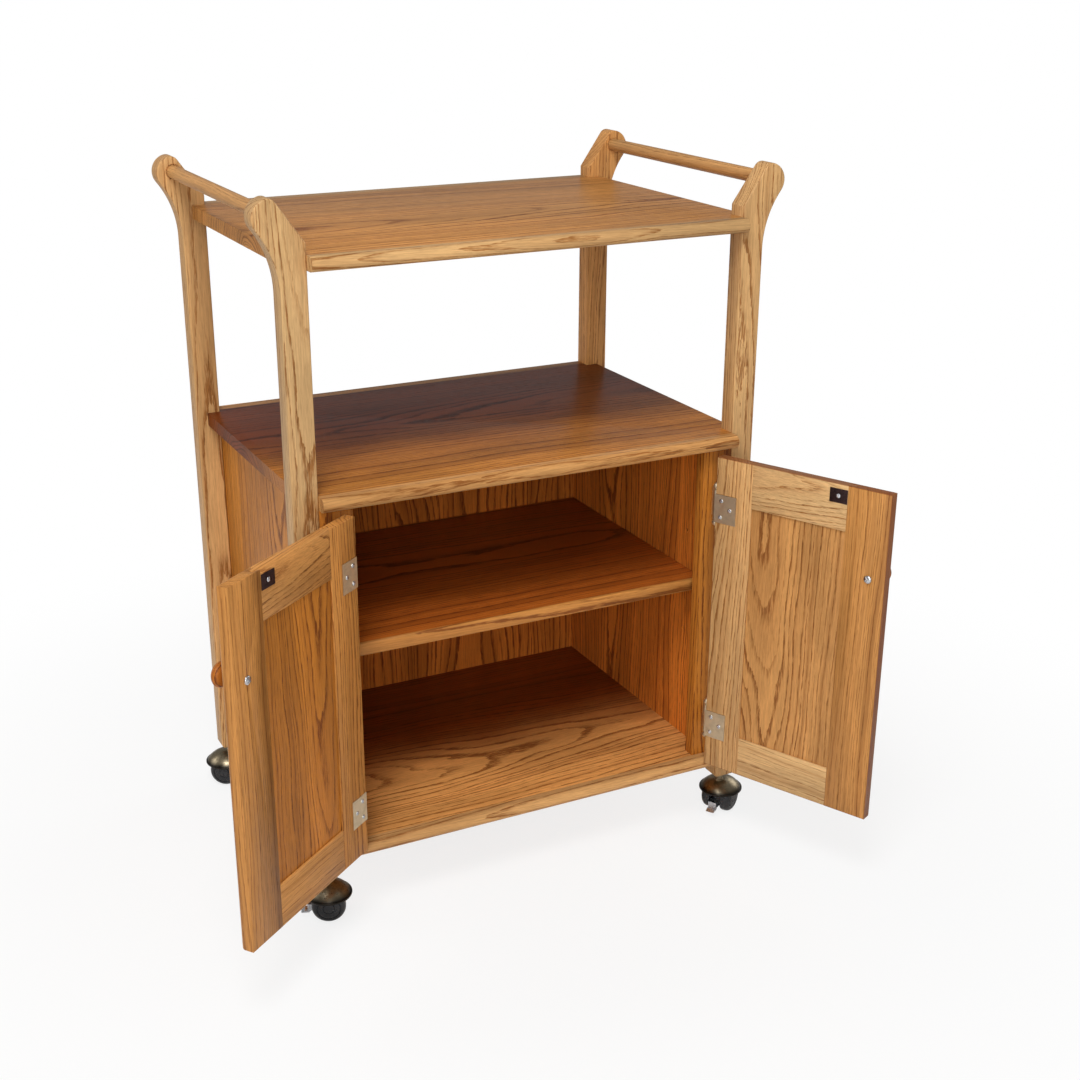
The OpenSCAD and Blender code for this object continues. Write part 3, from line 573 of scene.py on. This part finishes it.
def moulded(name, colour, roughness):
    """Moulded plastic with a faint texture."""
    material, tree = new_material(name)
    place = tree.place()
    fine = tree.noise(place, (1400.0,) * 3, 2.0)
    dust = tree.smooth(tree.noise(place, (60.0,) * 3, 4.0, 0.6), 0.45, 0.8)
    shade = tree.mix(tree.math("MULTIPLY", dust, 0.22), rgba(colour), rgba((0.10, 0.10, 0.105)))
    close_material(tree, {"Base Color": shade,
                          "Roughness": tree.math("MULTIPLY_ADD", dust, 0.2, roughness)},
                   fine, 0.15, 0.0002)
    return material


# Operators --------------------------------------------------------------------------------

class CartOperator(bpy.types.Operator):
    """Shared settings of the cart's operators."""
    bl_options = {"REGISTER", "UNDO"}


class CART_OT_stage(CartOperator):
    """Set the floor, the lamps and the camera"""
    bl_idname = "cart.stage"
    bl_label = "Stage"

    def execute(self, context):
        stage = context.scene.cart_stage
        self.floor(stage)
        self.world(context, stage)
        aim = Vector((0.0, 0.0, 0.5))
        self.lamp("key", (-1.05, -1.55, 3.1), aim, 1.1, stage.key_power)
        self.lamp("front", (-1.5, -3.1, 1.5), aim, 2.0, stage.front_power)
        self.lamp("right_rear", (3.1, 0.7, 1.7), aim, 1.8, stage.side_power)
        self.lamp("left_rear", (-2.6, 1.5, 1.9), aim, 1.8, stage.side_power)
        self.camera(context, stage)
        return {"FINISHED"}

    def floor(self, stage):
        """A floor that shows white, with the cart's shadow left faint near it."""
        deselect()
        bpy.ops.mesh.primitive_plane_add(size=60.0, location=(0.0, 0.0, 0.0))
        plane = bpy.context.object
        plane.name = "floor"
        material, tree = new_material("floor")
        lit = tree.node("ShaderNodeBsdfDiffuse", {"Color": rgba(stage.floor)})
        glow = tree.node("ShaderNodeEmission", {"Color": rgba((1.0, 1.0, 1.0)), "Strength": 1.0})
        away = tree.vector("LENGTH", tree.place())
        share = tree.smooth(away, 0.45, 1.4, 0.80, 1.0)
        mixed = tree.node("ShaderNodeMixShader")
        for socket, value in zip(mixed.inputs, (
                tree.math("MULTIPLY", tree.camera_ray(), share), lit.outputs[0], glow.outputs[0])):
            tree.put(socket, value)
        close_tree(tree, mixed)
        plane.data.materials.append(material)

    def world(self, context, stage):
        """An even light that the camera alone sees as white."""
        world = bpy.data.worlds.new("studio")
        world.use_nodes = True
        tree = Tree(world.node_tree)
        world.node_tree.nodes.clear()
        strength = tree.math("MULTIPLY_ADD", tree.camera_ray(), 1.0 - stage.world, stage.world)
        close_tree(tree, tree.node("ShaderNodeBackground", {
            "Color": rgba((1.0, 1.0, 1.0)), "Strength": strength}), "ShaderNodeOutputWorld")
        context.scene.world = world

    def lamp(self, name, place, aim, size, power):
        """A square lamp turned to its aim."""
        data = bpy.data.lights.new(name, "AREA")
        data.shape = "SQUARE"
        data.size = size
        data.energy = power
        lamp = bpy.data.objects.new(name, data)
        bpy.context.scene.collection.objects.link(lamp)
        lamp.location = place
        lamp.rotation_euler = (aim - lamp.location).to_track_quat("-Z", "Y").to_euler()

    def camera(self, context, stage):
        """The camera of the photograph."""
        data = bpy.data.cameras.new("camera")
        data.lens = stage.lens
        data.sensor_width = 36.0
        data.shift_x, data.shift_y = CAMERA_SHIFT
        camera = bpy.data.objects.new("camera", data)
        context.scene.collection.objects.link(camera)
        camera.location = stage.camera_at
        camera.rotation_euler = (math.pi / 2 - stage.camera_pitch, 0.0, stage.camera_yaw)
        context.scene.camera = camera
        context.scene.view_settings.view_transform = "Standard"


class CART_OT_posts(CartOperator):
    """Finish the four scrolled posts, with their arrises rounded"""
    bl_idname = "cart.posts"
    bl_label = "Posts"

    def execute(self, context):
        radius = context.scene.cart_oak.post_round
        grown = {
            "post_front_left": dict(heart=(0.030, 0.040), tilt=0.030, stain=0.05, shade=0.95),
            "post_front_right": dict(heart=(-0.030, 0.034), tilt=-0.032, stain=0.15, shade=0.95),
            "post_rear_left": dict(heart=(0.020, -0.045), tilt=0.024, stain=0.25, shade=0.98),
            "post_rear_right": dict(heart=(0.040, 0.030), tilt=-0.022, stain=0.60, shade=1.08),
        }
        for node, look in grown.items():
            material = oak(node, middle(node), GRAIN_UP_FACE_FRONT, **look)
            ease(node, radius, material, outline_edge(*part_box(node)), 3)
        return {"FINISHED"}


def outline_edge(low, high):
    """A test for the edges that lie in the front or rear face of a box."""
    return lambda edge: all(min(abs(v.co.y - low.y), abs(v.co.y - high.y)) < 1e-4
                            for v in edge.verts)


def level_edge(edge):
    """Whether an edge of a board is level, which leaves out its upright corners."""
    return abs(edge.verts[0].co.z - edge.verts[1].co.z) < 1e-5


class CART_OT_boards(CartOperator):
    """Finish the top shelf, the deck, the bottom board and the inner shelf"""
    bl_idname = "cart.boards"
    bl_label = "Boards"

    def execute(self, context):
        radius = context.scene.cart_oak.board_round
        for node, look, edge in (
                ("top_shelf", dict(heart=(-0.05, -0.062), tilt=0.050, stain=0.75, shade=1.05,
                                   ring=1.6, sway=0.045, contrast=2.3, gloss=0.08), (0.15, 0.93)),
                # The deck fades to painted shade towards the back, where the top shelf shades it.
                ("deck", dict(heart=(0.04, -0.066), tilt=-0.045, stain=0.9, shade=1.0, ring=1.5,
                              sway=0.045, contrast=2.6, gloss=0.08,
                              fade=("Y", -0.12, 0.20, 2.0, 0.38)), (0.5, 1.0)),
                # The bottom board fades to painted shade towards the back, where the inner shelf shades it.
                ("bottom_board", dict(heart=(-0.08, -0.060), tilt=0.055, stain=0.7, shade=1.35,
                                      ring=1.5, sway=0.045, contrast=2.4,
                                      fade=("Y", -0.04, 0.18, 2.0, 0.55)), (0.4, 1.1))):
            low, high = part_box(node)
            material = oak(node, middle(node), GRAIN_ACROSS_FACE_UP, roughness=0.30,
                           nosing=((high.y - low.y) / 2, NOSING_WIDTH, *edge), **look)
            ease(node, radius, material, level_edge)
        # The inner shelf fades to painted shade towards the back, under the deck.
        low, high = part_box("inner_shelf")
        ease("inner_shelf", radius, oak(
            "inner_shelf", middle("inner_shelf"), GRAIN_ACROSS_FACE_UP, heart=(0.03, -0.07),
            tilt=0.03, stain=1.7, shade=1.05, ring=1.4, contrast=2.0, roughness=0.30,
            fade=("Y", low.y, high.y - 0.12, 2.0, 0.85),
            nosing=((high.y - low.y) / 2, SHELF_NOSING_WIDTH, 0.8, 1.0)), level_edge)
        return {"FINISHED"}


class CART_OT_cabinet(CartOperator):
    """Finish the side panels, the back, the stiles and the handle dowels"""
    bl_idname = "cart.cabinet"
    bl_label = "Cabinet"

    def execute(self, context):
        radius = context.scene.cart_oak.joint_round
        for side in SIDES:
            sign = -1 if side == "left" else 1
            panel = "side_panel_" + side
            # Painted light: each side panel's inside face is brighter and redder than its outside.
            inside = middle(panel).x - sign * 0.004
            dress(panel, oak(panel, middle(panel), GRAIN_UP_FACE_SIDE,
                             heart=(0.07 * sign, 0.075), tilt=0.035, stain=1.0, ring=1.3,
                             sway=0.05, contrast=2.2,
                             fade=("X", inside, inside - sign * 1e-4, 1.45, 1.55)))
            stile = "face_stile_" + side
            ease(stile, radius, oak(stile, middle(stile), GRAIN_UP_FACE_FRONT, tilt=0.03,
                                    heart=(0.02 * sign, 0.03), stain=1.15, shade=0.95), segments=3)
            dowel = "handle_dowel_" + side
            dress(dowel, oak(dowel, middle(dowel), GRAIN_DEEP_FACE_UP,
                             heart=(0.05, -0.02), stain=0.5, shade=0.95, contrast=0.8))
        # Painted light: the back's inside face is brighter and redder than its outside.
        back = middle("back_panel").y
        dress("back_panel", oak("back_panel", middle("back_panel"), GRAIN_UP_FACE_FRONT,
                                heart=(0.1, 0.045), tilt=0.03, stain=1.5, shade=1.25, ring=1.8,
                                sway=0.08, contrast=2.4,
                                fade=("Y", back - 1e-4, back, 1.0, 0.95)))
        return {"FINISHED"}


def door_place(side):
    """Where a door hangs: the origin is on its pin, x runs along the shut door to the right."""
    joint = JOINTS[side + "_door_hinge"]
    angle = math.radians(-joint["range_deg"][1 if side == "left" else 0])
    return Matrix.Translation((*joint["pos_m"][:2], 0.0)) @ Matrix.Rotation(angle, 4, "Z")


def outward(place, spot, turn=0.0):
    """A screw's place on the inner face of the door that hangs at place."""
    return (place @ Matrix.Translation(spot) @ Matrix.Rotation(-math.pi / 2, 4, "X")
            @ Matrix.Rotation(turn, 4, "Z"))


class CART_OT_doors(CartOperator):
    """Finish the frames, panels and knobs of both doors"""
    bl_idname = "cart.doors"
    bl_label = "Doors"

    def execute(self, context):
        radius = context.scene.cart_oak.joint_round
        for side in SIDES:
            sign = -1 if side == "left" else 1
            place = door_place(side)
            swing = place.to_3x3()
            up = swing @ GRAIN_UP_FACE_FRONT
            across = swing @ GRAIN_ACROSS_FACE_FRONT
            dark = 0.7 if side == "left" else 0.0
            lows, highs = zip(*[local_box(f"{side}_door_{part}", place)
                                for part in ("hinge_stile", "lock_stile")])
            outline = (place, Vector(map(min, *lows)), Vector(map(max, *highs)))
            # Only the right door's outline gets painted shade, as its edges turn away from the lamps.
            rim = outline if side == "right" else None
            for part, turn, look in (
                    ("hinge_stile", up, dict(heart=(0.035 * sign, 0.03), tilt=0.03,
                                             stain=0.25 + 0.8 * dark)),
                    ("lock_stile", up, dict(heart=(0.10, 0.06), tilt=0.01, stain=0.70 + 0.1 * dark,
                                            shade=0.97 - 0.05 * dark, contrast=1.2)),
                    ("top_rail", across, dict(heart=(0.02, 0.035), tilt=0.09, stain=dark,
                                              contrast=1.3)),
                    ("bottom_rail", across, dict(heart=(-0.06, 0.05), tilt=0.03, stain=dark,
                                                 contrast=1.0))):
                node = f"{side}_door_{part}"
                ease(node, radius, oak(node, middle(node), turn, rim=rim, **look))
            panel = f"{side}_door_panel"
            dress(panel, oak(panel, middle(panel), up, heart=(0.04 * sign, 0.05), tilt=0.045,
                             stain=0.6 + 0.7 * dark, ring=1.2, sway=0.05))
            self.knob(side, place, oak(f"{side}_door_knob", middle(f"{side}_door_knob"), up,
                                       stain=1.4, shade=0.9))
        return {"FINISHED"}

    def knob(self, side, place, material):
        """A turned knob: a foot, a waist and a round crown."""
        node = f"{side}_door_knob"
        low, high = local_box(node, place)
        depth, r = high.y - low.y, (high.z - low.z) / 2
        rise = 0.34 * depth
        waist = [(0.0, 0.0), (0.60, 0.0), (0.62, 0.02), (0.62, 0.06), (0.58, 0.10),
                 (0.50, 0.13), (0.45, 0.18), (0.43, 0.24), (0.46, 0.30)]
        crown = [(r * math.cos(a), depth - rise + rise * math.sin(a))
                 for a in map(math.radians, range(-58, 86, 11))]
        knob = turned([(x * r, z * depth) for x, z in waist] + crown + [(0.0, depth)], 40)
        middle_x, middle_z = (low.x + high.x) / 2, (low.z + high.z) / 2
        settle(knob, place @ Matrix.Translation((middle_x, high.y, middle_z))
               @ Matrix.Rotation(math.pi / 2, 4, "X"))
        finish_piece(knob, node + "_turned", node, material)
        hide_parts(node)


class CART_OT_hinges(CartOperator):
    """Finish the hinges, striker plates and pegs, with all their screws"""
    bl_idname = "cart.hinges"
    bl_label = "Hinges and screws"

    def execute(self, context):
        look = context.scene.cart_hardware
        leaf = worn_metal("leaf_brass", look.leaf, 0.86, 0.36, 90.0)
        bronze = worn_metal("dark_bronze", look.bronze, 0.6, 0.45)
        zinc = worn_metal("zinc_plate", look.zinc, 0.8, 0.20)
        steel = worn_metal("screw_steel", look.zinc, 0.8, 0.18, 400.0)
        head = screw_head(look.screw_radius, SCREW_RISE)
        large = screw_head(KNOB_SCREW_RADIUS, KNOB_SCREW_RISE)
        for node in ("frame_hinge_leaves", "hinge_pins"):
            dress(node, leaf)
        for side in SIDES:
            self.door(side, leaf, bronze, steel, head, large)
        self.frame_screws(head, steel)
        dress("shelf_pegs", zinc)
        dress("caster_sockets", zinc)
        discard(head, large)
        return {"FINISHED"}

    def door(self, side, leaf, bronze, steel, head, large):
        """A door's hinge leaves and striker plate with their screws, and the knob's screw."""
        place = door_place(side)
        inward = 1 if side == "left" else -1
        leaves = f"{side}_door_hinge_leaves"
        dress(leaves, leaf)
        low, high = local_box(leaves, place)
        screws = []
        for level in (low.z + LEAF_HALF, high.z - LEAF_HALF):
            for along, up, turn in DOOR_SCREWS:
                spot = Vector((inward * (PIN_TO_EDGE + along), high.y, level + up))
                screws.append(placed(head, outward(place, spot, turn)))
        finish_piece(joined(screws), f"{side}_door_leaf_screws", leaves, steel)
        plate = f"{side}_door_catch_plate"
        ease(plate, PLATE_ROUND, bronze)
        low, high = local_box(plate, place)
        spot = Vector(((low.x + high.x) / 2, high.y, (low.z + high.z) / 2))
        screw = placed(head, outward(place, spot))
        finish_piece(screw, f"{side}_door_plate_screw", plate, steel)
        node = f"{side}_door_knob_screw"
        low, high = local_box(node, place)
        spot = Vector(((low.x + high.x) / 2, high.y - KNOB_SCREW_RISE, (low.z + high.z) / 2))
        width, top, tip = KNOB_SHANK_RADIUS, SHANK_INTO_HEAD, low.y - spot.y
        shank = turned([(0.0, top), (width, top), (width, tip), (0.0, tip)], 20)
        whole = joined([placed(part, outward(place, spot)) for part in (large, shank)])
        discard(shank)
        finish_piece(whole, node + "_driven", node, steel)
        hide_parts(node)

    def frame_screws(self, head, steel):
        """The screws of the frame's leaves, two in each."""
        screws = []
        for side in SIDES:
            inward = 1 if side == "left" else -1
            pin_x, pin_y = JOINTS[side + "_door_hinge"]["pos_m"][:2]
            low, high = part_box(f"{side}_door_hinge_leaves")
            for level in (low.z + LEAF_HALF, high.z - LEAF_HALF):
                for along, up, turn in FRAME_SCREWS:
                    spot = (pin_x - inward * along, pin_y + PIN_TO_FRAME_LEAF, level + up)
                    screws.append(placed(head, Matrix.Translation(spot)
                                         @ Matrix.Rotation(math.pi / 2, 4, "X")
                                         @ Matrix.Rotation(turn, 4, "Z")))
        finish_piece(joined(screws), "frame_leaf_screws", "frame_hinge_leaves", steel)


class CART_OT_casters(CartOperator):
    """Model one hooded twin-wheel caster and set it at the four corners"""
    bl_idname = "cart.casters"
    bl_label = "Casters"

    def execute(self, context):
        look = context.scene.cart_hardware
        brass = worn_metal("antique_brass", look.brass, 0.55, 0.24, 120.0, rim=HOOD_BLACK_RIM)
        zinc = bpy.data.materials["zinc_plate"]
        black = moulded("wheel_black", look.black, 0.22)
        low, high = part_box("caster_fl_hood")
        swivel = Vector(JOINTS["caster_fl_swivel"]["pos_m"])
        axle = Vector(JOINTS["caster_fl_wheel_a_spin"]["pos_m"])
        trail = (axle.xy - swivel.xy).length
        hood = self.hood(low.z, high.z, (high.x - low.x) / 2, trail)
        wheel = self.wheel(axle.z)
        for corner in CORNERS:
            joint = JOINTS[f"caster_{corner}_wheel_a_spin"]
            turn = math.atan2(-joint["axis"][0], joint["axis"][1])
            stem = Vector((*JOINTS[f"caster_{corner}_swivel"]["pos_m"][:2], 0.0))
            place = Matrix.Translation(stem) @ Matrix.Rotation(turn, 4, "Z")
            for part in ("stem", "bracket"):
                dress(f"caster_{corner}_{part}", zinc)
            node = f"caster_{corner}_hood"
            shell = finish_piece(placed(hood, place), node + "_shell", node, brass)
            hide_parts(node)
            for half, side in (("a", 1), ("b", -1)):
                node = f"caster_{corner}_wheel_{half}"
                spot = Matrix.Translation((trail, side * WHEEL_OFFSET, axle.z))
                tyre = placed(wheel, place @ spot @ Matrix.Rotation(-side * math.pi / 2, 4, "X"))
                finish_piece(tyre, node + "_moulded", node, black)
                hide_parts(node)
        discard(hood, wheel)
        return {"FINISHED"}

    def hood(self, rim_z, top_z, radius, trail):
        """A dome with a beaded rim, and the collar round the stem."""
        ball = (radius ** 2 + HOOD_RISE ** 2) / (2 * HOOD_RISE)
        floor_z = rim_z + HOOD_RISE - ball
        bead = rim_z + 0.0033
        start = math.asin((bead - floor_z) / ball)
        outer = self.arc(ball, floor_z, math.pi / 2, start, 16)
        inside = ball - HOOD_WALL
        end = math.asin((rim_z + 0.0006 - floor_z) / inside)
        inner = self.arc(inside, floor_z, end, math.pi / 2, 14)
        outer[0], inner[-1] = (0.0, outer[0][1]), (0.0, inner[-1][1])
        lip = [(radius - 0.0006, bead - 0.0002), (radius - 0.0001, bead - 0.0009),
               (radius - 0.0001, rim_z + 0.0006), (radius - 0.0005, rim_z),
               (inner[0][0] + 0.0004, rim_z)]
        dome = turned(outer + lip + inner, 56)
        settle(dome, Matrix.Translation((trail, 0.0, 0.0)))
        drops = [(0.0, 0.0125), (0.0063, 0.0125), (0.0069, 0.0085), (0.0069, 0.0070),
                 (0.0060, 0.0062), (0.0058, 0.0040), (0.0062, 0.0032), (0.0069, 0.0026),
                 (0.0069, 0.0006), (0.0064, 0.0), (0.0, 0.0)]
        collar = turned([(x, top_z - drop) for x, drop in drops], 36)
        return joined([dome, collar])

    def arc(self, radius, centre_z, start, end, steps):
        """Points of an arc from start to end, as (radius, height)."""
        angles = [start + (end - start) * i / steps for i in range(steps + 1)]
        return [(radius * math.cos(a), centre_z + radius * math.sin(a)) for a in angles]

    def wheel(self, radius):
        """One wheel, its inner face on z = 0 and its hub facing up."""
        r, w, s = radius - TREAD_GAP, WHEEL_WIDTH, WHEEL_SHOULDER
        tread = [(0.0, 0.0), (r - 0.0040, 0.0), (r - 0.0014, 0.0003), (r - 0.0004, 0.0011),
                 (r, 0.0024), (r, 0.0062)]
        shoulder = [(r - s + s * math.cos(a), w - s + s * math.sin(a))
                    for a in map(math.radians, range(6, 67, 6))]
        hub = [(0.0170, 0.0006), (0.0166, 0.0014), (0.0156, 0.0016), (0.0151, 0.0007),
               (0.0140, 0.0002), (0.0085, 0.0002), (0.0081, 0.0010), (0.0077, 0.0010),
               (0.0073, 0.0001), (0.0050, 0.0), (0.0, 0.0)]
        return turned(tread + shoulder + [(x, w - drop) for x, drop in hub], 56)


class CART_PT_panel(bpy.types.Panel):
    """Lists the steps that finish the cart"""
    bl_idname = "CART_PT_panel"
    bl_label = "Microwave Cart"
    bl_space_type = "VIEW_3D"
    bl_region_type = "UI"
    bl_category = "Cart"

    def draw(self, context):
        for step in STEPS:
            self.layout.operator(step.bl_idname)
        for family in GROUPS:
            group = getattr(context.scene, family)
            for name in group.__annotations__:
                self.layout.prop(group, name)


STEPS = (CART_OT_posts, CART_OT_boards, CART_OT_cabinet, CART_OT_doors, CART_OT_hinges,
         CART_OT_casters, CART_OT_stage)
GROUPS = {"cart_oak": OakFinish, "cart_hardware": HardwareFinish, "cart_stage": StageSettings}


def register():
    for cls in (*GROUPS.values(), *STEPS, CART_PT_panel):
        bpy.utils.register_class(cls)
    for name, cls in GROUPS.items():
        setattr(bpy.types.Scene, name, bpy.props.PointerProperty(type=cls))


def unregister():
    for name in GROUPS:
        delattr(bpy.types.Scene, name)
    for cls in (CART_PT_panel, *reversed(STEPS), *reversed(tuple(GROUPS.values()))):
        bpy.utils.unregister_class(cls)


def main():
    register()
    for step in STEPS:
        family, name = step.bl_idname.split(".")
        getattr(getattr(bpy.ops, family), name)()


if __name__ == "__main__":
    main()
